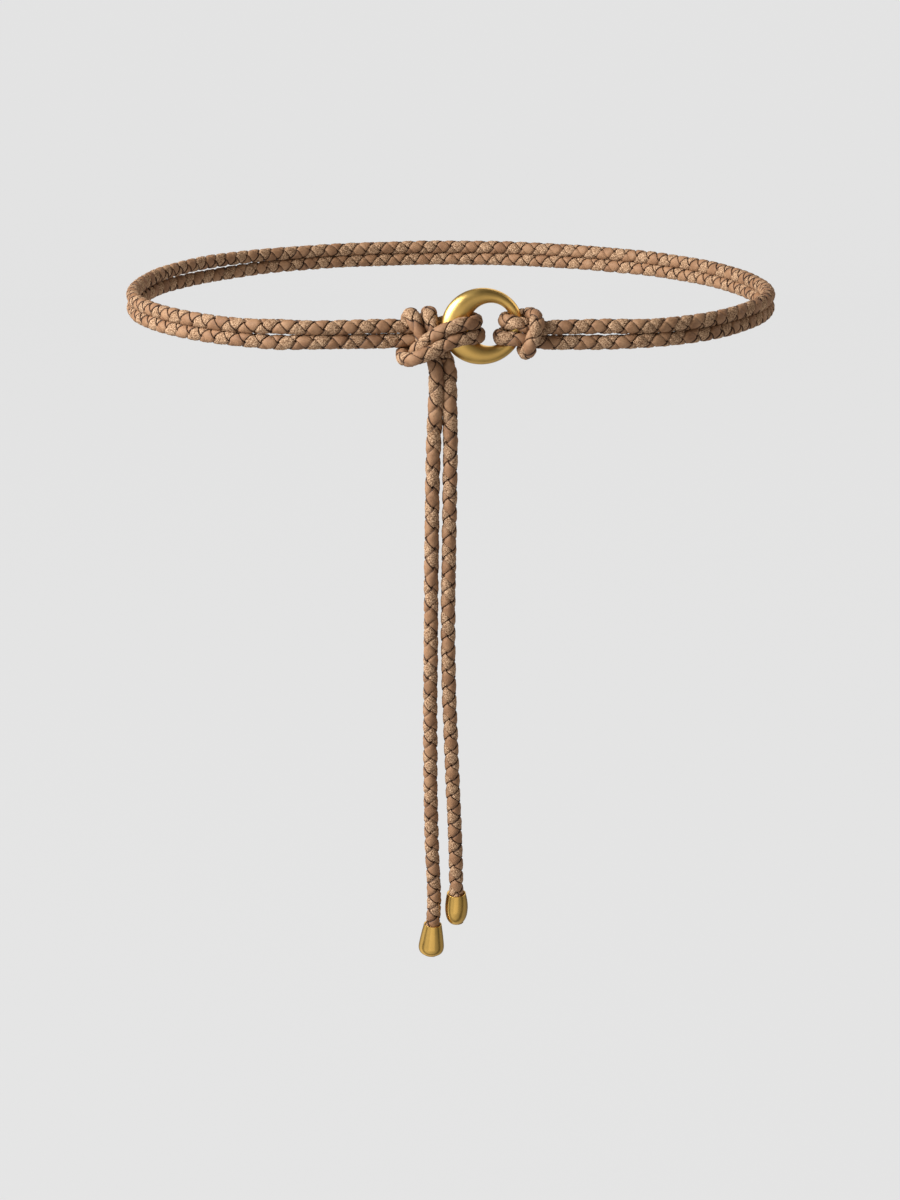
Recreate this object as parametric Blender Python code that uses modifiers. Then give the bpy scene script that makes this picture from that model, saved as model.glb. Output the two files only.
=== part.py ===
"""Woven suede belt: one round-plaited suede cord, used double.

The middle of the cord is hitched round one side of a brass ring. Its two halves
run side by side round the waist, pass through the ring from behind, turn back
over its rim, go once round the belt and hang down in front as two tails, each
ending in a brass tip.

Metres, +Z up, +X to the right as seen from the front, the front towards -Y.
The origin is the middle of the waist loop, halfway between the two cords.
"""

import bpy
from math import atan2, cos, hypot, pi, radians, sin, sqrt
from mathutils import Quaternion, Vector

MM = 0.001

# Cord
CORD_DIAMETER = 6.0 * MM
DRAWN_TIGHT = 0.85          # share of its diameter left where it is pulled tight
CLEARANCE = 0.3 * MM
EASE_LENGTH = 6.0 * MM      # over which a tight cord swells back to its full size
WAIST_SPACING = 10.0 * MM   # between the rings of points along a tube
TAIL_SPACING = 13.0 * MM
KNOT_SPACING = 2.2 * MM
FINE = 24                   # steps of the smooth line between two points of a route

# Waist loop, from middle to middle of the cord
LOOP_WIDTH = 288.0 * MM
LOOP_DEPTH = 219.5 * MM

# Ring: an oval with its hole off centre, so that it is thick on one side
RING_WIDTH = 34.8 * MM
RING_HEIGHT = 32.5 * MM
HOLE_WIDTH = 18.0 * MM
HOLE_HEIGHT = 18.4 * MM
HOLE_SHIFT = Vector((3.5, 0.7)) * MM
RING_DEPTH_THICK = 8.4 * MM
RING_DEPTH_THIN = 5.0 * MM
RING_CENTRE = Vector((13.2, 1.0, 3.5)) * MM   # across, behind the front cords, up
RING_TURN = radians(8)

# Tips: small bells pressed a little flat towards the bottom
TIP_HEIGHT = 15.3 * MM
TIP_WIDTH = 11.5 * MM
TIP_FLATNESS = 0.84
TIP_WALL = 0.6 * MM
TIP_SEAT = 5.0 * MM         # how far the cord goes in
TIP_TURN = {"tip_left": 0.0, "tip_right": radians(62)}

# Tails: how far their cut ends lie below the middle of the belt
TAIL_LEFT_DROP = 274.3 * MM
TAIL_RIGHT_DROP = 259.0 * MM

# Where two tight cords touch, their middles are one step apart
CORD_TIGHT = CORD_DIAMETER * DRAWN_TIGHT
STEP = CORD_TIGHT + CLEARANCE
HALF_PAIR = (CORD_DIAMETER + CLEARANCE) / 2
FRONT = -LOOP_DEPTH / 2

# Waist loop in plan, from the hitch round the back to the knot
# (share of half the loop's width, share of its depth from the front)
WAIST_PLAN = (
    (0.43, 0.006), (0.59, 0.020), (0.735, 0.072), (0.86, 0.158), (0.955, 0.265),
    (1.00, 0.380), (0.99, 0.495), (0.93, 0.630), (0.82, 0.750), (0.665, 0.850),
    (0.47, 0.926), (0.25, 0.980), (0.015, 1.000), (-0.22, 0.985), (-0.46, 0.940),
    (-0.665, 0.865), (-0.825, 0.765), (-0.94, 0.640), (-0.993, 0.505),
    (-1.00, 0.385), (-0.96, 0.268), (-0.87, 0.165), (-0.745, 0.080),
    (-0.60, 0.022), (-0.445, 0.000), (-0.305, 0.004),
)

# The hitch, in steps from the right edge of the ring (across, behind, up)
HITCH_TURN_LEVELS = (1.05, -0.22)
HITCH_JOIN = (2.10, 0.00)
HITCH_UPPER = ((1.25, -0.11, 0.51), (0.53, -0.24, 0.60))
HITCH_BAR = (
    (0.12, 1.40, 1.30), (0.60, 0.66, 1.50), (0.93, -0.18, 1.54),
    (1.03, -0.97, 1.20), (0.90, -1.28, 0.52), (0.66, -1.33, -0.10),
    (0.44, -1.28, -0.80), (0.28, -0.73, -1.28), (0.11, 0.08, -1.40),
    (0.05, 0.80, -1.20), (-0.18, 1.40, -0.70),
)
HITCH_LOWER = ((1.25, -0.11, -0.51), (0.53, -0.21, -0.44))

# The knot, in steps from the left edge of the ring (across, behind, up)
KNOT_TURN_LEVELS = (1.08, -0.04)
KNOT_JOIN = (-4.02, 0.55)
KNOT_ENTRY_UPPER = ((-1.78, 0.76, 0.51), (-0.33, 1.09, 0.60))
KNOT_ENTRY_LOWER = ((-1.78, 0.76, -0.51), (-0.33, 1.09, -0.48))
KNOT_EXIT_UPPER = (0.72, -0.28, -2.76)
KNOT_EXIT_LOWER = (-0.46, -0.72, -2.76)
KNOT_UPPER = (
    (0.13, -1.49, 0.58), (-0.60, -1.42, 0.14), (-1.24, -1.38, -0.34),
    (-1.84, -1.19, -0.97), (-2.00, -0.42, -1.44), (-2.00, 0.57, -1.57),
    (-1.82, 1.50, -1.24), (-1.60, 1.89, -0.36), (-1.35, 1.94, 0.54),
    (-1.03, 1.66, 1.38), (-0.87, 0.76, 1.64), (-0.82, 0.04, 1.40),
    (-0.73, -0.29, 0.80), (-0.50, -0.22, 0.09), (-0.24, -0.14, -0.64),
    (0.13, -0.22, -1.31), (0.57, -0.20, -1.97),
)
KNOT_LOWER = (
    (0.31, -1.67, -0.44), (-0.60, -2.00, -0.90), (-1.42, -2.12, -1.24),
    (-2.30, -1.92, -1.56), (-2.86, -1.06, -1.68), (-2.97, 0.05, -1.64),
    (-2.93, 1.10, -1.48), (-2.76, 1.74, -0.76), (-2.65, 1.82, 0.18),
    (-2.55, 1.50, 1.10), (-2.36, 0.80, 1.58), (-2.15, 0.07, 1.44),
    (-1.95, -0.31, 0.90), (-1.58, -0.35, 0.22), (-1.23, -0.43, -0.62),
    (-0.86, -0.60, -1.31), (-0.56, -0.74, -1.97),
)

# The tails (share of the drop, across in mm, behind the front cords in mm)
TAIL_LEFT = (
    (0.11, -6.9, -3.2), (0.26, -7.9, -3.0), (0.44, -8.5, -3.0), (0.66, -9.0, -3.0),
    (0.82, -8.6, -3.0), (0.94, -7.5, -3.0), (1.00, -8.4, -3.0),
)
TAIL_RIGHT = (
    (0.12, 0.0, -2.6), (0.27, -0.4, -3.0), (0.48, -1.1, -3.0), (0.58, -0.9, -3.0),
    (0.73, 0.4, -3.2), (0.88, 2.0, -3.6), (0.96, 2.5, -3.5), (1.00, 2.6, -2.9),
)

# Tip profile, from the rim down (share of the height, share of half the width)
TIP_PROFILE = (
    (0.00, 0.67), (0.04, 0.70), (0.14, 0.75), (0.28, 0.82), (0.44, 0.89),
    (0.60, 0.955), (0.72, 0.99), (0.80, 1.00), (0.88, 0.955), (0.94, 0.83),
    (0.98, 0.60), (1.00, 0.30),
)

SUEDE = (0.42, 0.26, 0.17, 1.0)
SUEDE_DARK = (0.34, 0.20, 0.13, 1.0)
BRASS = (0.62, 0.44, 0.16, 1.0)


def material(name, colour, roughness, metallic):
    made = bpy.data.materials.new(name)
    made.use_nodes = True
    made.diffuse_color = colour
    shader = made.node_tree.nodes["Principled BSDF"]
    shader.inputs["Base Color"].default_value = colour
    shader.inputs["Roughness"].default_value = roughness
    shader.inputs["Metallic"].default_value = metallic
    return made


def collection(name):
    made = bpy.data.collections.new(name)
    bpy.context.scene.collection.children.link(made)
    return made


def moved_to(target, thing):
    for old in list(thing.users_collection):
        old.objects.unlink(thing)
    target.objects.link(thing)
    return thing


def smooth_line(points):
    """A centripetal Catmull-Rom curve through the points, as a fine polyline."""
    ends = [points[0] * 2 - points[1], *points, points[-1] * 2 - points[-2]]
    line = []
    for i in range(1, len(ends) - 2):
        p = ends[i - 1:i + 3]
        t = [0.0]
        for a, b in zip(p, p[1:]):
            t.append(t[-1] + sqrt((b - a).length))

        def blend(a, b, ta, tb, at):
            return a * ((tb - at) / (tb - ta)) + b * ((at - ta) / (tb - ta))

        for k in range(FINE):
            at = t[1] + (t[2] - t[1]) * k / FINE
            first = [blend(p[j], p[j + 1], t[j], t[j + 1], at) for j in range(3)]
            second = [blend(first[j], first[j + 1], t[j], t[j + 2], at) for j in range(2)]
            line.append(blend(second[0], second[1], t[1], t[2], at))
    line.append(points[-1].copy())
    return line


def even_points(line, spacing):
    """Evenly spaced points along a fine polyline, half a clearance in from its ends.

    The first and last are one knot spacing from their neighbours, so that the cut
    ends of two stretches face each other squarely.
    """
    along = [0.0]
    for a, b in zip(line, line[1:]):
        along.append(along[-1] + (b - a).length)
    start, stop = CLEARANCE / 2, along[-1] - CLEARANCE / 2
    inner = stop - start - 2 * KNOT_SPACING
    count = round(inner / spacing)
    marks = [start + KNOT_SPACING + inner * k / count for k in range(count + 1)]
    found, i = [], 0
    for at in (start, *marks, stop):
        while i < len(line) - 2 and along[i + 1] < at:
            i += 1
        found.append(line[i].lerp(line[i + 1], (at - along[i]) / (along[i + 1] - along[i])))
    return found


def cord_stretch(name, line, spacing, finish, tight):
    """A round tube along part of the cord; a tight one is full size only at its ends."""
    points = even_points(line, spacing)
    curve = bpy.data.curves.new(name, "CURVE")
    curve.dimensions = "3D"
    curve.bevel_depth = CORD_DIAMETER / 2
    curve.bevel_resolution = 3
    curve.use_fill_caps = True
    curve.materials.append(finish)
    spline = curve.splines.new("POLY")
    spline.points.add(len(points) - 1)
    for i, (slot, point) in enumerate(zip(spline.points, points)):
        slot.co = (*point, 1.0)
        if tight:
            inside = min(i, len(points) - 1 - i) * spacing / EASE_LENGTH
            slot.radius = 1.0 - (1.0 - DRAWN_TIGHT) * min(1.0, inside)
    belt.objects.link(bpy.data.objects.new(name, curve))


def whole_cord(stretches):
    """One smooth line through all the routes, cut where each stretch ends.

    Each stretch is (name, points, spacing, finish, tight), and it ends at the first
    point of the next one. Returns the fine line of each stretch by its name.
    """
    points = [point for stretch in stretches for point in stretch[1]]
    line = smooth_line(points)
    cuts, first = {}, 0
    for name, route, spacing, finish, tight in stretches:
        last = first + len(route) * FINE
        cuts[name] = line[first:last + 1]
        cord_stretch(name, cuts[name], spacing, finish, tight)
        first = last
    return cuts


def ring_section(angle):
    """Middle, half width and half depth of the ring's section at an angle round it."""
    outer = Vector((cos(angle) * RING_WIDTH, sin(angle) * RING_HEIGHT)) / 2
    inner = Vector((cos(angle) * HOLE_WIDTH, sin(angle) * HOLE_HEIGHT)) / 2 + HOLE_SHIFT
    half = (outer - inner) / 2
    spread = (RING_WIDTH - HOLE_WIDTH) / 4
    thickness = (half.length - spread + HOLE_SHIFT.x / 2) / HOLE_SHIFT.x
    depth = RING_DEPTH_THIN + (RING_DEPTH_THICK - RING_DEPTH_THIN) * thickness
    return (outer + inner) / 2, half, depth / 2


def on_ring(across, behind, up):
    """From the ring's own frame to the belt's."""
    turned = Vector((
        across * cos(RING_TURN) - behind * sin(RING_TURN),
        across * sin(RING_TURN) + behind * cos(RING_TURN),
        up,
    ))
    return turned + RING_CENTRE + Vector((0, FRONT, 0))


def round_the_rim(side, level, angles):
    """Points of a cord that lies round the rim of the ring, at one level.

    The side is 1 on the right and -1 on the left. The angles, in degrees, are
    0 inside the hole, 90 in front of the rim and -90 behind it.
    """
    up = level * STEP - RING_CENTRE.z
    outer_share = up / (RING_HEIGHT / 2)
    inner_share = (up - HOLE_SHIFT.y) / (HOLE_HEIGHT / 2)
    outer = side * RING_WIDTH / 2 * sqrt(1 - outer_share ** 2)
    inner = side * HOLE_WIDTH / 2 * sqrt(1 - inner_share ** 2) + HOLE_SHIFT.x
    angle = atan2(inner_share, side * sqrt(1 - inner_share ** 2))
    normal = Vector((HOLE_HEIGHT * cos(angle), HOLE_WIDTH * sin(angle))).normalized()
    half_width = abs(outer - inner) / 2 + (CORD_TIGHT / 2 + 2 * CLEARANCE) / abs(normal.x)
    half_depth = ring_section(angle)[2] + CORD_TIGHT / 2 + CLEARANCE
    middle = (outer + inner) / 2
    return [
        on_ring(
            middle - side * half_width * cos(radians(a)),
            -half_depth * sin(radians(a)),
            up,
        )
        for a in angles
    ]


def from_edge(side, *rows):
    """Rows of (across, behind, up) in steps, from the ring's right (1) or left (-1) edge."""
    edge = RING_CENTRE.x + side * RING_WIDTH / 2
    return [Vector((edge + x * STEP, FRONT + y * STEP, z * STEP)) for x, y, z in rows]


def pair_join(edge, join, side):
    """Where the waist pair ends by an edge of the ring, on its upper cord (1) or lower (-1)."""
    return from_edge(edge, (*join, side * HALF_PAIR / STEP))[0]


def hitch_route():
    """From the lower waist cord, round the ring, up across the bar and back."""
    turn = (85, 45, 0, -45, -80)
    upper, lower = (round_the_rim(1, level, turn) for level in HITCH_TURN_LEVELS)
    return [
        *from_edge(1, *HITCH_LOWER),
        *lower,
        *reversed(from_edge(1, *HITCH_BAR)),
        *reversed(upper),
        *reversed(from_edge(1, *HITCH_UPPER)),
    ]


def waist_route(side):
    """From the hitch round the back to the knot, as the upper cord (1) or the lower (-1)."""
    plan = [(x * LOOP_WIDTH / 2, FRONT + y * LOOP_DEPTH) for x, y in WAIST_PLAN]
    return [Vector((x, y, side * HALF_PAIR)) for x, y in plan]


def knot_route(entry, level, rows):
    """Through the ring, over its rim, round the waist cords and down."""
    rim = round_the_rim(-1, level, (-80, -40, 0, 40, 80))
    return [*from_edge(-1, *entry), *rim, *from_edge(-1, *rows)]


def tail_route(drop, rows):
    return [Vector((x * MM, FRONT + y * MM, -share * drop)) for share, x, y in rows]


def ring(finish):
    bpy.ops.mesh.primitive_torus_add(
        major_segments=56, minor_segments=20, major_radius=1.0, minor_radius=0.25
    )
    made = bpy.context.object
    made.name = made.data.name = "ring"
    for vertex in made.data.vertices:
        x, y, z = vertex.co
        middle, half, depth = ring_section(atan2(y, x))
        turn = atan2(z, hypot(x, y) - 1.0)
        flat = middle + half * cos(turn)
        vertex.co = on_ring(flat.x, -depth * sin(turn), flat.y)
    made.data.shade_smooth()
    made.data.materials.append(finish)
    return moved_to(belt, made)


def turned_mesh(name, profile, steps):
    """The mesh of a profile at +X, listed top to bottom, turned about Z."""
    outline = bpy.data.meshes.new(name + "_outline")
    links = [(i, i + 1) for i in range(len(profile) - 1)]
    outline.from_pydata([(r, 0.0, z) for r, z in profile], links, [])
    shape = bpy.data.objects.new(name, outline)
    bpy.context.scene.collection.objects.link(shape)
    screw = shape.modifiers.new("Turned", "SCREW")
    screw.steps = screw.render_steps = steps
    screw.use_merge_vertices = True
    screw.merge_threshold = 1e-5
    bpy.context.view_layer.update()
    ready = shape.evaluated_get(bpy.context.evaluated_depsgraph_get())
    mesh = bpy.data.meshes.new_from_object(ready)
    bpy.data.objects.remove(shape)
    bpy.data.meshes.remove(outline)
    return mesh


def tip(name, tail, finish):
    """A brass bell on the end of a tail, in line with it, with a bore for the cord."""
    rim = CORD_DIAMETER / 2 + CLEARANCE + TIP_WALL
    profile = [(0.0, 0.0)]
    for share, width in TIP_PROFILE:
        profile.append((max(width * TIP_WIDTH / 2, rim * (1 - share)), -share * TIP_HEIGHT))
    profile.append((0.0, -TIP_HEIGHT))
    mesh = turned_mesh(name, profile, 32)
    for vertex in mesh.vertices:
        pressed = min(1.0, -vertex.co.z / (0.6 * TIP_HEIGHT))
        vertex.co.y *= 1.0 - (1.0 - TIP_FLATNESS) * pressed
    mesh.shade_smooth()
    mesh.set_sharp_from_angle(angle=radians(50))
    mesh.materials.append(finish)
    made = bpy.data.objects.new(name, mesh)
    belt.objects.link(made)

    over = 2.0 * MM
    bpy.ops.mesh.primitive_cylinder_add(
        vertices=32,
        radius=CORD_DIAMETER / 2 + CLEARANCE,
        depth=TIP_SEAT + over,
        location=(0.0, 0.0, (over - TIP_SEAT) / 2),
    )
    bore = bpy.context.object
    bore.name = name + "_bore"
    bore.parent = made
    bore.hide_render = True
    bore.display_type = "WIRE"
    moved_to(cutters, bore)
    cut = made.modifiers.new("Bore", "BOOLEAN")
    cut.operation = "DIFFERENCE"
    cut.object = bore

    along = (tail[-1] - tail[-8]).normalized()
    lean = Vector((0, 0, -1)).rotation_difference(along)
    made.rotation_mode = "QUATERNION"
    made.rotation_quaternion = lean @ Quaternion((0, 0, 1), TIP_TURN[name])
    made.location = tail[-1] - along * (TIP_SEAT - CLEARANCE / 2)
    return made


for thing in list(bpy.data.objects):
    bpy.data.objects.remove(thing)
belt = collection("woven_suede_belt")
cutters = collection("cutters")

suede = material("suede", SUEDE, 0.9, 0.0)
suede_lower = material("suede_lower", SUEDE_DARK, 0.9, 0.0)
brass = material("brass", BRASS, 0.28, 1.0)

ring(brass)
tail_left = tail_route(TAIL_LEFT_DROP, TAIL_LEFT)
tail_right = tail_route(TAIL_RIGHT_DROP, TAIL_RIGHT)
knot_upper = knot_route(KNOT_ENTRY_UPPER, KNOT_TURN_LEVELS[0], KNOT_UPPER)
knot_lower = knot_route(KNOT_ENTRY_LOWER, KNOT_TURN_LEVELS[1], KNOT_LOWER)
hitch_ends = [pair_join(1, HITCH_JOIN, side) for side in (1, -1)]
knot_ends = [pair_join(-1, KNOT_JOIN, side) for side in (1, -1)]
tail_starts = from_edge(-1, KNOT_EXIT_UPPER, KNOT_EXIT_LOWER)
lines = whole_cord((
    ("tail_left", tail_left[::-1], TAIL_SPACING, suede_lower, False),
    ("knot_cord_lower", [tail_starts[1], *knot_lower[::-1]], KNOT_SPACING, suede_lower, True),
    ("waist_cord_lower", [knot_ends[1], *waist_route(-1)[::-1]], WAIST_SPACING, suede_lower, False),
    ("hitch", [hitch_ends[1], *hitch_route()], KNOT_SPACING, suede, True),
    ("waist_cord_upper", [hitch_ends[0], *waist_route(1)], WAIST_SPACING, suede, False),
    ("knot_cord_upper", [knot_ends[0], *knot_upper], KNOT_SPACING, suede, True),
    ("tail_right", [tail_starts[0], *tail_right], TAIL_SPACING, suede, False),
))
tip("tip_left", lines["tail_left"][::-1], brass)
tip("tip_right", lines["tail_right"], brass)
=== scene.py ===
"""Woven suede belt: the looks of the plaited cord, the ring and the tips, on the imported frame."""

import random
from math import atan2, cos, hypot, pi, radians, sin, sqrt

import bpy
import numpy as np
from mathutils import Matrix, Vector


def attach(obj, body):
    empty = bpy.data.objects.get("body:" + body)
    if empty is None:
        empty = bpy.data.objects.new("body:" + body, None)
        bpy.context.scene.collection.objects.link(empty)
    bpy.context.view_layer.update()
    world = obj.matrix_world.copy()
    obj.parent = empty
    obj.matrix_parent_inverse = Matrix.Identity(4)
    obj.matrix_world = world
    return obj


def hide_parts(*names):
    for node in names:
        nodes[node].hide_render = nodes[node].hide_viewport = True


MM = 0.001
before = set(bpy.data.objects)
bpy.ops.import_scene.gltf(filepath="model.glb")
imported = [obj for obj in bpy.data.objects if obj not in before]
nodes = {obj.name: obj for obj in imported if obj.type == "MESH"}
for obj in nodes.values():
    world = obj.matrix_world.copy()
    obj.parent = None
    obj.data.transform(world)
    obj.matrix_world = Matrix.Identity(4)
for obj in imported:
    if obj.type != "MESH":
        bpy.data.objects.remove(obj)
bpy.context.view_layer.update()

# Sizes and routes, as in the part
CORD_DIAMETER = 6.0 * MM
DRAWN_TIGHT = 0.85
CLEARANCE = 0.3 * MM
FINE = 24
LOOP_WIDTH = 288.0 * MM
LOOP_DEPTH = 219.5 * MM
RING_WIDTH = 34.8 * MM
RING_HEIGHT = 32.5 * MM
HOLE_WIDTH = 18.0 * MM
HOLE_HEIGHT = 18.4 * MM
HOLE_SHIFT = Vector((3.5, 0.7)) * MM
RING_DEPTH_THICK = 8.4 * MM
RING_DEPTH_THIN = 5.0 * MM
RING_CENTRE = Vector((13.2, 1.0, 3.5)) * MM
RING_TURN = radians(8)
TAIL_LEFT_DROP = 274.3 * MM
TAIL_RIGHT_DROP = 259.0 * MM
CORD_TIGHT = CORD_DIAMETER * DRAWN_TIGHT
STEP = CORD_TIGHT + CLEARANCE
HALF_PAIR = (CORD_DIAMETER + CLEARANCE) / 2
FRONT = -LOOP_DEPTH / 2

WAIST_PLAN = (
    (0.43, 0.006), (0.59, 0.020), (0.735, 0.072), (0.86, 0.158), (0.955, 0.265),
    (1.00, 0.380), (0.99, 0.495), (0.93, 0.630), (0.82, 0.750), (0.665, 0.850),
    (0.47, 0.926), (0.25, 0.980), (0.015, 1.000), (-0.22, 0.985), (-0.46, 0.940),
    (-0.665, 0.865), (-0.825, 0.765), (-0.94, 0.640), (-0.993, 0.505),
    (-1.00, 0.385), (-0.96, 0.268), (-0.87, 0.165), (-0.745, 0.080),
    (-0.60, 0.022), (-0.445, 0.000), (-0.305, 0.004),
)
HITCH_TURN_LEVELS = (1.05, -0.22)
HITCH_JOIN = (2.10, 0.00)
HITCH_UPPER = ((1.25, -0.11, 0.51), (0.53, -0.24, 0.60))
HITCH_BAR = (
    (0.12, 1.40, 1.30), (0.60, 0.66, 1.50), (0.93, -0.18, 1.54),
    (1.03, -0.97, 1.20), (0.90, -1.28, 0.52), (0.66, -1.33, -0.10),
    (0.44, -1.28, -0.80), (0.28, -0.73, -1.28), (0.11, 0.08, -1.40),
    (0.05, 0.80, -1.20), (-0.18, 1.40, -0.70),
)
HITCH_LOWER = ((1.25, -0.11, -0.51), (0.53, -0.21, -0.44))
KNOT_TURN_LEVELS = (1.08, -0.04)
KNOT_JOIN = (-4.02, 0.55)
KNOT_ENTRY_UPPER = ((-1.78, 0.76, 0.51), (-0.33, 1.09, 0.60))
KNOT_ENTRY_LOWER = ((-1.78, 0.76, -0.51), (-0.33, 1.09, -0.48))
KNOT_EXIT_UPPER = (0.72, -0.28, -2.76)
KNOT_EXIT_LOWER = (-0.46, -0.72, -2.76)
KNOT_UPPER = (
    (0.13, -1.49, 0.58), (-0.60, -1.42, 0.14), (-1.24, -1.38, -0.34),
    (-1.84, -1.19, -0.97), (-2.00, -0.42, -1.44), (-2.00, 0.57, -1.57),
    (-1.82, 1.50, -1.24), (-1.60, 1.89, -0.36), (-1.35, 1.94, 0.54),
    (-1.03, 1.66, 1.38), (-0.87, 0.76, 1.64), (-0.82, 0.04, 1.40),
    (-0.73, -0.29, 0.80), (-0.50, -0.22, 0.09), (-0.24, -0.14, -0.64),
    (0.13, -0.22, -1.31), (0.57, -0.20, -1.97),
)
KNOT_LOWER = (
    (0.31, -1.67, -0.44), (-0.60, -2.00, -0.90), (-1.42, -2.12, -1.24),
    (-2.30, -1.92, -1.56), (-2.86, -1.06, -1.68), (-2.97, 0.05, -1.64),
    (-2.93, 1.10, -1.48), (-2.76, 1.74, -0.76), (-2.65, 1.82, 0.18),
    (-2.55, 1.50, 1.10), (-2.36, 0.80, 1.58), (-2.15, 0.07, 1.44),
    (-1.95, -0.31, 0.90), (-1.58, -0.35, 0.22), (-1.23, -0.43, -0.62),
    (-0.86, -0.60, -1.31), (-0.56, -0.74, -1.97),
)
TAIL_LEFT = (
    (0.11, -6.9, -3.2), (0.26, -7.9, -3.0), (0.44, -8.5, -3.0), (0.66, -9.0, -3.0),
    (0.82, -8.6, -3.0), (0.94, -7.5, -3.0), (1.00, -8.4, -3.0),
)
TAIL_RIGHT = (
    (0.12, 0.0, -2.6), (0.27, -0.4, -3.0), (0.48, -1.1, -3.0), (0.58, -0.9, -3.0),
    (0.73, 0.4, -3.2), (0.88, 2.0, -3.6), (0.96, 2.5, -3.5), (1.00, 2.6, -2.9),
)


def smooth_line(points):
    """A centripetal Catmull-Rom curve through the points, as a fine polyline."""
    ends = [points[0] * 2 - points[1], *points, points[-1] * 2 - points[-2]]
    line = []
    for i in range(1, len(ends) - 2):
        p = ends[i - 1:i + 3]
        t = [0.0]
        for a, b in zip(p, p[1:]):
            t.append(t[-1] + sqrt((b - a).length))

        def blend(a, b, ta, tb, at):
            return a * ((tb - at) / (tb - ta)) + b * ((at - ta) / (tb - ta))

        for k in range(FINE):
            at = t[1] + (t[2] - t[1]) * k / FINE
            first = [blend(p[j], p[j + 1], t[j], t[j + 1], at) for j in range(3)]
            second = [blend(first[j], first[j + 1], t[j], t[j + 2], at) for j in range(2)]
            line.append(blend(second[0], second[1], t[1], t[2], at))
    line.append(points[-1].copy())
    return line


def ring_section(angle):
    """Middle, half width and half depth of the ring's section at an angle round it."""
    outer = Vector((cos(angle) * RING_WIDTH, sin(angle) * RING_HEIGHT)) / 2
    inner = Vector((cos(angle) * HOLE_WIDTH, sin(angle) * HOLE_HEIGHT)) / 2 + HOLE_SHIFT
    half = (outer - inner) / 2
    spread = (RING_WIDTH - HOLE_WIDTH) / 4
    thickness = (half.length - spread + HOLE_SHIFT.x / 2) / HOLE_SHIFT.x
    depth = RING_DEPTH_THIN + (RING_DEPTH_THICK - RING_DEPTH_THIN) * thickness
    return (outer + inner) / 2, half, depth / 2


def on_ring(across, behind, up):
    """From the ring's own frame to the belt's."""
    turned = Vector((
        across * cos(RING_TURN) - behind * sin(RING_TURN),
        across * sin(RING_TURN) + behind * cos(RING_TURN),
        up,
    ))
    return turned + RING_CENTRE + Vector((0, FRONT, 0))


def round_the_rim(side, level, angles):
    """Points of a cord that lies round the rim of the ring, at one level."""
    up = level * STEP - RING_CENTRE.z
    outer_share = up / (RING_HEIGHT / 2)
    inner_share = (up - HOLE_SHIFT.y) / (HOLE_HEIGHT / 2)
    outer = side * RING_WIDTH / 2 * sqrt(1 - outer_share ** 2)
    inner = side * HOLE_WIDTH / 2 * sqrt(1 - inner_share ** 2) + HOLE_SHIFT.x
    angle = atan2(inner_share, side * sqrt(1 - inner_share ** 2))
    normal = Vector((HOLE_HEIGHT * cos(angle), HOLE_WIDTH * sin(angle))).normalized()
    half_width = abs(outer - inner) / 2 + (CORD_TIGHT / 2 + 2 * CLEARANCE) / abs(normal.x)
    half_depth = ring_section(angle)[2] + CORD_TIGHT / 2 + CLEARANCE
    middle = (outer + inner) / 2
    return [
        on_ring(middle - side * half_width * cos(radians(a)), -half_depth * sin(radians(a)), up)
        for a in angles
    ]


def from_edge(side, *rows):
    """Rows of (across, behind, up) in steps, from the ring's right (1) or left (-1) edge."""
    edge = RING_CENTRE.x + side * RING_WIDTH / 2
    return [Vector((edge + x * STEP, FRONT + y * STEP, z * STEP)) for x, y, z in rows]


def pair_join(edge, join, side):
    return from_edge(edge, (*join, side * HALF_PAIR / STEP))[0]


def hitch_route():
    turn = (85, 45, 0, -45, -80)
    upper, lower = (round_the_rim(1, level, turn) for level in HITCH_TURN_LEVELS)
    return [
        *from_edge(1, *HITCH_LOWER),
        *lower,
        *reversed(from_edge(1, *HITCH_BAR)),
        *reversed(upper),
        *reversed(from_edge(1, *HITCH_UPPER)),
    ]


def waist_route(side):
    plan = [(x * LOOP_WIDTH / 2, FRONT + y * LOOP_DEPTH) for x, y in WAIST_PLAN]
    return [Vector((x, y, side * HALF_PAIR)) for x, y in plan]


def knot_route(entry, level, rows):
    rim = round_the_rim(-1, level, (-80, -40, 0, 40, 80))
    return [*from_edge(-1, *entry), *rim, *from_edge(-1, *rows)]


def tail_route(drop, rows):
    return [Vector((x * MM, FRONT + y * MM, -share * drop)) for share, x, y in rows]


def whole_line():
    """The smooth line of the whole cord and where each stretch of it starts and ends."""
    tail_starts = from_edge(-1, KNOT_EXIT_UPPER, KNOT_EXIT_LOWER)
    knot_upper = knot_route(KNOT_ENTRY_UPPER, KNOT_TURN_LEVELS[0], KNOT_UPPER)
    knot_lower = knot_route(KNOT_ENTRY_LOWER, KNOT_TURN_LEVELS[1], KNOT_LOWER)
    stretches = (
        ("tail_left", tail_route(TAIL_LEFT_DROP, TAIL_LEFT)[::-1]),
        ("knot_cord_lower", [tail_starts[1], *knot_lower[::-1]]),
        ("waist_cord_lower", [pair_join(-1, KNOT_JOIN, -1), *waist_route(-1)[::-1]]),
        ("hitch", [pair_join(1, HITCH_JOIN, -1), *hitch_route()]),
        ("waist_cord_upper", [pair_join(1, HITCH_JOIN, 1), *waist_route(1)]),
        ("knot_cord_upper", [pair_join(-1, KNOT_JOIN, 1), *knot_upper]),
        ("tail_right", [tail_starts[0], *tail_route(TAIL_RIGHT_DROP, TAIL_RIGHT)]),
    )
    line = smooth_line([point for _, route in stretches for point in route])
    cuts, first = {}, 0
    for name, route in stretches:
        last = min(first + len(route) * FINE, len(line) - 1)
        cuts[name] = (first, last)
        first = last
    return np.array([tuple(p) for p in line]), cuts


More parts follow.
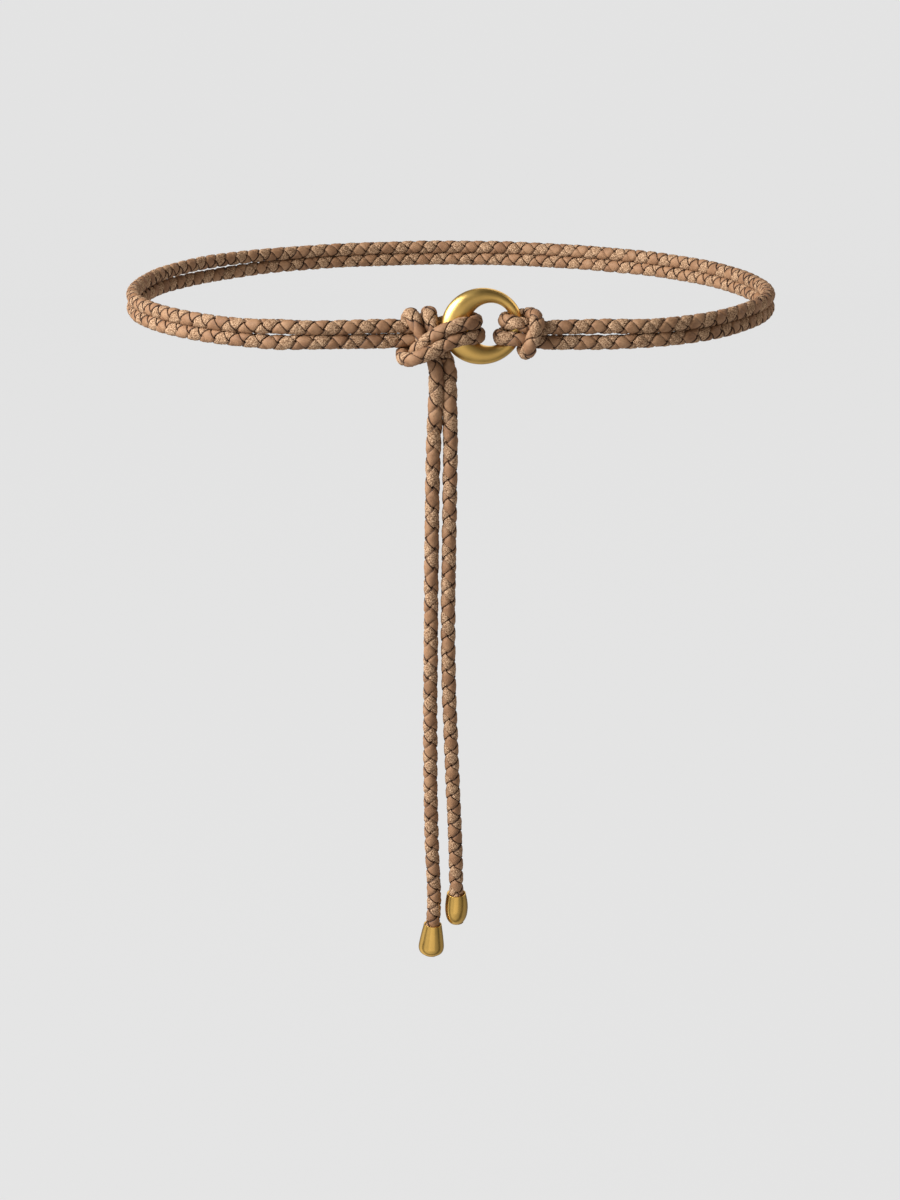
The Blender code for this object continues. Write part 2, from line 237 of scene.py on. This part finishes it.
# Camera: in front, a metre away, looking 17 degrees down
camera = bpy.data.objects.new("camera", bpy.data.cameras.new("camera"))
bpy.context.scene.collection.objects.link(camera)
camera.data.sensor_width = 36.0
camera.data.lens = 72.0
camera.data.clip_start = 0.01
camera.location = (-0.0003, FRONT - 0.998, 0.1925)
camera.rotation_euler = (radians(90 - 17.22), 0.0, 0.0)
bpy.context.scene.camera = camera


# The plait: four flat laces, two each way round, over one and under one
PITCH = 15.0 * MM
LACE_MIDDLE = 2.19 * MM     # from the cord's middle to a lace's middle
LACE_RISE = 0.47 * MM       # how far it rises and dips at each crossing
LACE_HALF = 0.236           # half its width, as a share of the pitch
LACE_THICK = 1.10 * MM
PER_PITCH = 46              # rows of a lace to one pitch
LACE_SHARPNESS = 2.8        # how quickly it passes from over to under
LACE_DROOP = 0.03           # share by which its edges lie deeper than its middle
# (way round, start as a share of the pitch, over first or under first, finish)
LACES = ((1, 0.0, 1, 0), (1, 0.5, -1, 1), (-1, 0.0, -1, 0), (-1, 0.5, 1, 1))
# A lace's section, in halves of its width and thickness: its face, and a cut edge at each side
SECTION = (
    (-1.00, -1.00), (-0.98, -0.20), (-0.93, 0.50), (-0.845, 0.90), (-0.34, 1.14),
    (0.34, 1.14), (0.845, 0.90), (0.93, 0.50), (0.98, -0.20), (1.00, -1.00),
)
# The cut-edge faces take the darkest suede: a darker brown than the face, darkened further as painted
# shade for the narrow slits between the laces
EDGE_FACES = (0, 1, 2, 6, 7, 8)
EDGE_SLOT = 2
# The pitch at the start of each stretch and at the end of the cord, as a share of the usual one
PITCH_SHARES = (0.88, 1.24, 0.954, 0.954, 0.954, 0.954, 1.07, 0.92)
FIRST_TURN = 0.50           # of a pitch, at the end of the left tail
KNOT_SHARE = 0.93           # of the cord's full size, where it is drawn tight
KNOT_TAPER = 6.0 * MM       # from full size to that
PRESSED = 0.80              # and where it also bends sharply round something: thickness
SPREAD = 1.09               # and width
PAIR_CLOSING = 0.20 * MM    # how far each cord of the pair lies in towards the other
PAIR_SLACK = 0.45 * MM      # and out from it where the pair opens
# Where the pair opens: across and half the reach of it in mm, how much, and at the back or not
PAIR_OPENINGS = ((61, 14, 1.0, False), (-73, 9, 0.7, False), (-118, 22, 0.8, True))
TAILS_MEET = 0.60 * MM      # how far each tail leans to the other below the knot
TAILS_SWELL = 0.06          # share by which each tail is thicker below the knot
# The right tail turns round itself by this much, between two distances below the knot
TAIL_TWIST = 1.5
TAIL_TWIST_FROM, TAIL_TWIST_LENGTH = 12.0 * MM, 28.0 * MM
TIP_HEIGHT = 15.3 * MM
TIP_WIDTH = 11.5 * MM
TIP_FLATNESS = 0.84
TIP_SEAT = 5.0 * MM
TIP_SIDES = 72
RING_ROWS, RING_SIDES = 160, 48
TIP_TURN = {"tip_left": 0.0, "tip_right": radians(62)}
# Tip profiles, from the rim down (share of the height, share of half the width)
TIP_PROFILES = {
    "tip_left": (
        (0.00, 0.700), (0.04, 0.715), (0.14, 0.765), (0.28, 0.838), (0.44, 0.905),
        (0.60, 0.970), (0.70, 1.000), (0.78, 0.995), (0.86, 0.935), (0.92, 0.830),
        (0.965, 0.66), (0.99, 0.42), (1.00, 0.20),
    ),
    "tip_right": (
        (0.00, 0.740), (0.04, 0.760), (0.14, 0.830), (0.26, 0.905), (0.40, 0.970),
        (0.52, 1.000), (0.64, 0.985), (0.75, 0.920), (0.84, 0.815), (0.91, 0.680),
        (0.96, 0.52), (0.99, 0.30), (1.00, 0.12),
    ),
}


def frames_along(points, guide):
    """Unit tangents and a side vector carried along without twisting, as arrays."""
    steps = np.diff(points, axis=0)
    tangent = np.empty_like(points)
    tangent[1:-1] = steps[1:] / np.linalg.norm(steps[1:], axis=1)[:, None]
    tangent[1:-1] += steps[:-1] / np.linalg.norm(steps[:-1], axis=1)[:, None]
    tangent[0], tangent[-1] = steps[0], steps[-1]
    tangent /= np.linalg.norm(tangent, axis=1)[:, None]
    side = np.empty_like(points)
    last = np.array(guide, float)
    for i, t in enumerate(tangent):
        last = last - t * np.dot(last, t)
        last /= np.linalg.norm(last)
        side[i] = last
    return tangent, side


def rows_at(where, distance, rows):
    """Rows of three values, read between their own distances along the cord."""
    return np.stack([np.interp(where, distance, rows[:, i]) for i in range(3)], 1)


def turns_along(distance, marks):
    """Smooth, gently wandering count of pitches along the cord."""
    slow = 1.0 + 0.035 * np.sin(distance / 0.047 + 0.6) + 0.025 * np.sin(distance / 0.019 + 2.1)
    rate = slow / (PITCH * np.interp(distance, marks, PITCH_SHARES))
    steps = (rate[1:] + rate[:-1]) / 2 * np.diff(distance)
    return FIRST_TURN + np.concatenate([[0.0], np.cumsum(steps)])


def size_along(distance, stretches):
    """Share of the cord's full size at each fine point: less where it is drawn tight."""
    share = np.ones(len(distance))
    for first, last in stretches:
        here = distance[first:last + 1]
        inside = np.minimum(here - here[0], here[-1] - here)
        share[first:last + 1] = 1.0 - (1.0 - KNOT_SHARE) * np.clip(inside / KNOT_TAPER, 0, 1)
    return share


def pressing(points, distance):
    """Which way the cord bends at each fine point, and how sharply, from 0 to 1."""
    step = 0.4 * MM
    slightest, range_of_bends = 0.25, 0.9       # cord diameters to one radius of the bend
    even = np.arange(0.0, distance[-1], step)
    spread = rows_at(even, distance, points)
    bend = np.gradient(np.gradient(spread, step, axis=0), step, axis=0)
    window = np.hanning(13) / np.hanning(13).sum()
    bend = np.stack([np.convolve(bend[:, i], window, "same") for i in range(3)], 1)
    size = np.linalg.norm(bend, axis=1)
    way = bend / np.maximum(size, 1e-6)[:, None]
    amount = np.clip((size * CORD_DIAMETER - slightest) / range_of_bends, 0.0, 1.0)
    amount = np.convolve(amount, window, "same")
    return rows_at(distance, even, way), np.interp(distance, even, amount)


def wander(rng, at, reach, waves):
    """A small smooth random change along a lace."""
    total = np.zeros_like(at)
    for wave in waves:
        total += np.sin(2 * pi * at / wave + rng.uniform(0, 2 * pi)) / len(waves)
    return total * reach


def mesh_object(name, points, faces, finishes, slots=None):
    mesh = bpy.data.meshes.new(name)
    mesh.from_pydata(points, [], faces)
    for finish in finishes:
        mesh.materials.append(finish)
    if slots is not None:
        mesh.polygons.foreach_set("material_index", np.array(slots, np.int32))
    mesh.shade_smooth()
    made = bpy.data.objects.new(name, mesh)
    bpy.context.scene.collection.objects.link(made)
    return made


def lace_rows(kind, turns):
    """Angle, radius and place of one lace's section, in rows along its middle."""
    way, start, over, _ = kind
    rng = random.Random(way * 7 + start * 3 + over)
    middle = turns * PITCH
    half = LACE_HALF * PITCH * (1.0 + wander(rng, middle, 0.085, (0.013, 0.021, 0.037, 0.083)))
    drift = wander(rng, middle, 0.16 * MM, (0.018, 0.031))
    rise = LACE_RISE * (1.0 + wander(rng, middle, 0.18, (0.023, 0.041)))
    crossing = 2 * middle - start * PITCH
    across = np.array([a for a, _ in SECTION])[None, :] * half[:, None] + drift[:, None]
    wave = np.tanh(LACE_SHARPNESS * np.cos(2 * pi * crossing / PITCH) * over) / np.tanh(LACE_SHARPNESS)
    radius = LACE_MIDDLE + (rise * wave)[:, None]
    thick = np.array([b for _, b in SECTION])[None, :] * LACE_THICK / 2
    edge = 1.0 - LACE_DROOP * np.array([a * a for a, _ in SECTION])[None, :]
    radius = radius * edge + thick
    place = middle[:, None] + across / 2
    angle = way * (2 * (middle - start * PITCH)[:, None] - across) * pi / PITCH
    return place, angle, radius


def plait(name, first, last, finishes):
    """The four laces of one stretch of the cord as a single mesh."""
    count = int(round((turns[last] - turns[first]) * PER_PITCH))
    at = np.linspace(turns[first], turns[last], count + 1)
    points, faces, slots = [], [], []
    width = len(SECTION)
    for kind in LACES:
        place, angle, radius = lace_rows(kind, at)
        where = np.interp(place.ravel() / PITCH, turns, along)
        centre = rows_at(where, along, line)
        u = rows_at(where, along, side)
        t = rows_at(where, along, tangent)
        u /= np.linalg.norm(u, axis=1)[:, None]
        v = np.cross(t, u)
        turned = angle.ravel() + np.interp(where, along, twist)
        r = radius.ravel() * np.interp(where, along, share)
        reach = r[:, None] * (np.cos(turned)[:, None] * u + np.sin(turned)[:, None] * v)
        n = rows_at(where, along, press_way)
        much = np.interp(where, along, press)[:, None]
        inward = np.sum(reach * n, axis=1)[:, None] * n
        wide, flat = 1.0 + (SPREAD - 1.0) * much, 1.0 + (PRESSED - 1.0) * much
        spot = centre + (reach - inward) * wide + inward * flat
        base = len(points)
        points.extend(spot.tolist())
        rows = len(at)
        for i in range(rows - 1):
            for j in range(width):
                k = (j + 1) % width
                quad = (base + i * width + j, base + i * width + k,
                        base + (i + 1) * width + k, base + (i + 1) * width + j)
                faces.append(quad if kind[0] > 0 else quad[::-1])
                slots.append(EDGE_SLOT if j in EDGE_FACES else kind[3])
        for row, back in ((0, kind[0] > 0), (rows - 1, kind[0] < 0)):
            cap = len(points)
            points.extend(points[base + row * width:base + (row + 1) * width])
            ring = list(range(cap, cap + width))
            faces.append(ring[::-1] if back else ring)
            slots.append(kind[3])
    return mesh_object(name, points, faces, finishes, slots)


def noise_node(tree, scale, detail, rough, seat, stretch=None):
    noise = tree.nodes.new("ShaderNodeTexNoise")
    noise.inputs["Scale"].default_value = scale
    noise.inputs["Detail"].default_value = detail
    noise.inputs["Roughness"].default_value = rough
    if stretch:
        mapping = tree.nodes.new("ShaderNodeMapping")
        mapping.inputs["Scale"].default_value = stretch
        tree.links.new(seat.outputs["Object"], mapping.inputs["Vector"])
        tree.links.new(mapping.outputs["Vector"], noise.inputs["Vector"])
    else:
        tree.links.new(seat.outputs["Object"], noise.inputs["Vector"])
    return noise


def ramp_node(tree, source, stops):
    ramp = tree.nodes.new("ShaderNodeValToRGB")
    while len(ramp.color_ramp.elements) < len(stops):
        ramp.color_ramp.elements.new(0.5)
    for element, (position, colour) in zip(ramp.color_ramp.elements, stops):
        element.position = position
        element.color = (*colour, 1.0)
    tree.links.new(source, ramp.inputs["Fac"])
    return ramp


def blend_node(tree, factor, a, b):
    mix = tree.nodes.new("ShaderNodeMix")
    mix.data_type = "RGBA"
    mix.inputs["Factor"].default_value = factor
    tree.links.new(a, mix.inputs["A"])
    tree.links.new(b, mix.inputs["B"])
    return mix.outputs["Result"]


def range_node(tree, source, start, end, low, high):
    """A value that runs from low to high while the source runs from start to end."""
    mapped = tree.nodes.new("ShaderNodeMapRange")
    for socket, value in (("From Min", start), ("From Max", end), ("To Min", low), ("To Max", high)):
        mapped.inputs[socket].default_value = value
    tree.links.new(source, mapped.inputs["Value"])
    return mapped.outputs["Result"]


def split_node(tree, source):
    split = tree.nodes.new("ShaderNodeSeparateXYZ")
    tree.links.new(source, split.inputs["Vector"])
    return split.outputs


def bump_node(tree, source, strength, distance, shader):
    bump = tree.nodes.new("ShaderNodeBump")
    bump.inputs["Strength"].default_value = strength
    bump.inputs["Distance"].default_value = distance
    tree.links.new(source, bump.inputs["Height"])
    tree.links.new(bump.outputs["Normal"], shader.inputs["Normal"])


def new_finish(name):
    """A material with its tree, its shader and its object coordinates."""
    made = bpy.data.materials.new(name)
    made.use_nodes = True
    tree = made.node_tree
    return made, tree, tree.nodes["Principled BSDF"], tree.nodes.new("ShaderNodeTexCoord")


def suede(name, dark, middle, light, specks=None):
    """Suede: a slow change of tone and a fine nap, with light and dark specks on the rough side."""
    made, tree, shader, seat = new_finish(name)
    slow = noise_node(tree, 140.0, 2.0, 0.5, seat)
    fine = noise_node(tree, 1900.0 if specks else 1100.0, 3.0, 0.6, seat)
    tone = ramp_node(tree, slow.outputs["Fac"], ((0.32, dark), (0.50, middle), (0.68, light)))
    if specks:
        low, high, much = specks
        grain = ramp_node(tree, fine.outputs["Fac"], ((0.40, low), (0.49, middle), (0.60, high)))
    else:
        much = 0.40
        shade = tuple(c * 0.72 for c in middle)
        bright = tuple(min(1.0, c * 1.22) for c in middle)
        grain = ramp_node(tree, fine.outputs["Fac"], ((0.34, shade), (0.64, bright)))
    colour = blend_node(tree, much, tone.outputs["Color"], grain.outputs["Color"])
    tree.links.new(colour, shader.inputs["Base Color"])
    shader.inputs["Roughness"].default_value = 0.85 if specks else 0.68
    shader.inputs["Specular IOR Level"].default_value = 0.2 if specks else 0.35
    bump_node(tree, fine.outputs["Fac"], 0.75 if specks else 0.25, 0.4 * MM, shader)
    return made


def brass_finish(name, colour, rough):
    """Brass, with faint cloudy wear and a brushed breath of scratches."""
    made, tree, shader, seat = new_finish(name)
    cloud = noise_node(tree, 130.0, 4.0, 0.6, seat)
    fine = noise_node(tree, 900.0, 3.0, 0.6, seat, (1.0, 1.0, 6.0))
    deep = tuple(c * 0.88 for c in colour)
    tone = ramp_node(tree, cloud.outputs["Fac"], ((0.32, deep), (0.62, colour)))
    tree.links.new(tone.outputs["Color"], shader.inputs["Base Color"])
    shader.inputs["Metallic"].default_value = 1.0
    wear = range_node(tree, cloud.outputs["Fac"], 0.3, 0.7, rough - 0.05, rough + 0.07)
    tree.links.new(wear, shader.inputs["Roughness"])
    bump_node(tree, fine.outputs["Fac"], 0.08, 0.1 * MM, shader)
    return made


smooth_side = suede(
    "suede_smooth", (0.185, 0.088, 0.042), (0.285, 0.150, 0.076), (0.375, 0.218, 0.118),
)
rough_side = suede(
    "suede_rough", (0.235, 0.125, 0.064), (0.325, 0.188, 0.104), (0.420, 0.265, 0.160),
    ((0.070, 0.031, 0.013), (0.640, 0.435, 0.275), 0.72),
)
# Cut edges: partly the leather's darker cut edge, partly painted shade standing in for the shadow in
# the slits between the laces
cut_edge_and_slit_shade = suede(
    "suede_edge_painted_slit_shade", (0.026, 0.011, 0.005), (0.060, 0.026, 0.011), (0.150, 0.074, 0.036),
)
brass = brass_finish("brass_satin", (0.90, 0.60, 0.19), 0.34)
polished = brass_finish("brass_polished", (0.93, 0.605, 0.175), 0.22)

def bump_at(values, middle, reach):
    """A smooth rise to 1 at the middle, and down again."""
    return np.exp(-((values - middle) / reach) ** 2)


def slack_pair(level, first, last):
    """Move one cord of the pair up or down, in to the other and out where the pair opens."""
    across = line[first:last, 0] / MM
    at_back = line[first:last, 1] > FRONT + LOOP_DEPTH / 2
    slack = sum(
        much * bump_at(across, middle, reach) * (at_back == back)
        for middle, reach, much, back in PAIR_OPENINGS
    )
    from_end = np.minimum(np.arange(last - first), np.arange(last - first)[::-1])
    closing = np.minimum(1.0, from_end / 40.0) * (PAIR_CLOSING - (PAIR_CLOSING + PAIR_SLACK) * slack)
    line[first:last, 2] -= level * closing


# The cord
line, cuts = whole_line()
slack_pair(1, *cuts["waist_cord_upper"])
slack_pair(-1, *cuts["waist_cord_lower"])
along = np.concatenate([[0.0], np.cumsum(np.linalg.norm(np.diff(line, axis=0), axis=1))])
below_right = along - along[cuts["tail_right"][0]]
below_left = along[cuts["tail_left"][1]] - along
for below, way in ((below_right, 1), (below_left, -1)):
    line[:, 0] -= way * TAILS_MEET * bump_at(below, 9.0 * MM, 14.0 * MM)
tangent, side = frames_along(line, (0.0, -1.0, 0.0))
turns = turns_along(along, [along[first] for first, _ in cuts.values()] + [along[-1]])
press_way, press = pressing(line, along)
twist = 0.30 * np.sin(along / 0.031 + 1.0) + 0.35 * np.sin(along / 0.013 + 0.3)
twist -= TAIL_TWIST * np.clip((below_right - TAIL_TWIST_FROM) / TAIL_TWIST_LENGTH, 0.0, 1.0)
share = size_along(along, [cuts[name] for name in ("knot_cord_lower", "hitch", "knot_cord_upper")])
for below in (below_right, below_left):
    share += TAILS_SWELL * bump_at(below, 12.0 * MM, 16.0 * MM)
for name, (first, last) in cuts.items():
    piece = plait("plait_" + name, first, last, [smooth_side, rough_side, cut_edge_and_slit_shade])
    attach(piece, "root")
    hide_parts(name)


def spun(profile, steps, place):
    """Points and faces of (radius, height) rows turned round Z, each point put in place."""
    points = [tuple(place(r * cos(2 * pi * k / steps), r * sin(2 * pi * k / steps), z))
              for r, z in profile for k in range(steps)]
    faces = []
    for i in range(len(profile) - 1):
        for k in range(steps):
            m = (k + 1) % steps
            faces.append((i * steps + k, (i + 1) * steps + k, (i + 1) * steps + m, i * steps + m))
    return points, faces


def turned(name, profile, steps, place, finish):
    """A closed shape turned round Z."""
    points, faces = spun(profile, steps, place)
    faces.append(list(range(steps)))
    faces.append(list(range(len(points) - steps, len(points)))[::-1])
    return mesh_object(name, points, faces, [finish])


def rounded(profile, times):
    """The rows of a profile with its corners cut off again and again."""
    for _ in range(times):
        finer = [profile[0]]
        for a, b in zip(profile, profile[1:]):
            finer.append(tuple(p * 0.75 + q * 0.25 for p, q in zip(a, b)))
            finer.append(tuple(p * 0.25 + q * 0.75 for p, q in zip(a, b)))
        profile = finer + [profile[-1]]
    return profile


def bell(name, tail):
    """A brass tip: a thin rim, a bore for the cord and a rounded, slightly flattened bell."""
    bore = CORD_DIAMETER / 2 + CLEARANCE
    centre = 0.2 * MM
    outside = [(width * TIP_WIDTH / 2, -down * TIP_HEIGHT) for down, width in TIP_PROFILES[name]]
    top = outside[0][0]
    lip = [
        (bore, -TIP_SEAT), (bore, -0.35 * MM),
        (bore + 0.12 * MM, -0.05 * MM), (top - 0.15 * MM, 0.0),
    ]
    profile = [(centre, -TIP_SEAT), *lip, *rounded(outside, 2), (centre, -TIP_HEIGHT)]
    run = Vector(tail[-1] - tail[-8]).normalized()
    lean = Vector((0, 0, -1)).rotation_difference(run)
    sit = Vector(tail[-1]) - run * (TIP_SEAT - CLEARANCE / 2)
    spin = TIP_TURN[name]

    def place(x, y, z):
        pressed = min(1.0, -z / (0.6 * TIP_HEIGHT)) if hypot(x, y) > bore else 0.0
        y *= 1.0 - (1.0 - TIP_FLATNESS) * pressed
        return lean @ Vector((x * cos(spin) - y * sin(spin), x * sin(spin) + y * cos(spin), z)) + sit

    return turned("bell_" + name, profile, TIP_SIDES, place, polished)


def brass_ring():
    """The ring as one smooth closed surface."""
    points, faces = [], []
    for i in range(RING_ROWS):
        middle, half, depth = ring_section(2 * pi * i / RING_ROWS)
        row, after = i * RING_SIDES, (i + 1) % RING_ROWS * RING_SIDES
        for k in range(RING_SIDES):
            turn = 2 * pi * k / RING_SIDES
            flat = middle + half * cos(turn)
            points.append(tuple(on_ring(flat.x, -depth * sin(turn), flat.y)))
            m = (k + 1) % RING_SIDES
            faces.append((row + k, row + m, after + m, after + k))
    return mesh_object("ring_surface", points, faces, [brass])


shown = {"ring": brass_ring()}
for name, route in (("tip_left", line[cuts["tail_left"][0]:][:9][::-1]), ("tip_right", line[-9:])):
    shown[name] = bell(name, route)
for name, piece in shown.items():
    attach(piece, "root")
    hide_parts(name)
    nodes[name].data.materials.clear()
    nodes[name].data.materials.append(brass)

for name, far in (("tail_left", "tip_left"), ("tail_right", "tip_right")):
    first, last = cuts[name]

# Stage and light: a pale floor and a pale wall all round
FLOOR_LEVEL = -0.45
STAGE_SIDES = 64
STAGE_GLOW = 0.757
FLOOR = ((0.65, 0.0), (1.3, 0.0), (2.6, 0.0))
WALL = ((2.6, 0.0), (2.85, 0.05), (3.0, 0.2), (3.05, 0.45), (3.05, 4.5))
pale = bpy.data.materials.new("pale_floor")
pale.use_nodes = True
shader = pale.node_tree.nodes["Principled BSDF"]
shader.inputs["Base Color"].default_value = (0.02, 0.02, 0.02, 1.0)
shader.inputs["Emission Color"].default_value = (1.0, 1.0, 1.0, 1.0)
shader.inputs["Emission Strength"].default_value = STAGE_GLOW
shader.inputs["Roughness"].default_value = 1.0
shader.inputs["Specular IOR Level"].default_value = 0.0


def stage_piece(name, profile, closed):
    points, faces = spun(profile, STAGE_SIDES, lambda x, y, z: (x, y, z + FLOOR_LEVEL))
    if closed:
        faces.append(list(range(STAGE_SIDES)))
    made = mesh_object(name, points, faces, [pale])
    made.visible_glossy = False
    return made


stage_piece("floor", FLOOR, closed=True)
wall = stage_piece("wall", WALL, closed=False)
wall.visible_diffuse = False
wall.visible_shadow = False


WHITE = (1.0, 1.0, 1.0)
WARM = (1.0, 0.90, 0.80)


def softbox(name, place, target, size, power, colour):
    lamp = bpy.data.lights.new(name, "AREA")
    lamp.color = colour
    lamp.shape = "RECTANGLE"
    lamp.size, lamp.size_y = size
    lamp.energy = power
    made = bpy.data.objects.new(name, lamp)
    bpy.context.scene.collection.objects.link(made)
    made.location = place
    made.visible_camera = False
    aim = Vector(target) - Vector(place)
    made.rotation_euler = aim.to_track_quat("-Z", "Y").to_euler()
    return made


softbox("key", (-1.45, -0.70, 0.90), (0.0, FRONT, -0.03), (1.4, 1.4), 72.0, WHITE)
card = softbox("card", (0.1, -2.4, -0.5), (0.0, FRONT, -0.05), (1.9, 2.0), 3.4, WARM)
card.visible_diffuse = False
softbox("fill", (1.5, 0.5, 0.5), (0.0, 0.0, -0.1), (1.2, 1.2), 6.0, WARM)
softbox("back", (0.5, 1.6, 1.1), (0.0, 0.0, 0.0), (1.4, 1.4), 7.0, WARM)

# The room: its level from the front to the back, brighter on the left and below
ROOM_LEVELS = (
    (0.0, 0.46), (0.23, 0.44), (0.30, 0.15), (0.38, 0.14), (0.48, 0.50), (0.66, 0.44), (0.90, 0.16),
)
world = bpy.data.worlds.new("studio")
bpy.context.scene.world = world
world.use_nodes = True
tree = world.node_tree
facing = split_node(tree, tree.nodes.new("ShaderNodeTexCoord").outputs["Generated"])
back = range_node(tree, facing["Y"], -1.0, 1.0, 0.0, 1.0)
level = ramp_node(tree, back, [(at, (v, v * 0.94, v * 0.86)) for at, v in ROOM_LEVELS])
both = tree.nodes.new("ShaderNodeMath")
both.operation = "MULTIPLY"
tree.links.new(range_node(tree, facing["X"], -0.6, 0.8, 1.25, 0.50), both.inputs[0])
tree.links.new(range_node(tree, facing["Z"], -0.40, 0.75, 1.30, 0.40), both.inputs[1])
tree.links.new(level.outputs["Color"], tree.nodes["Background"].inputs["Color"])
tree.links.new(both.outputs["Value"], tree.nodes["Background"].inputs["Strength"])
bpy.context.scene.view_settings.view_transform = "Standard"
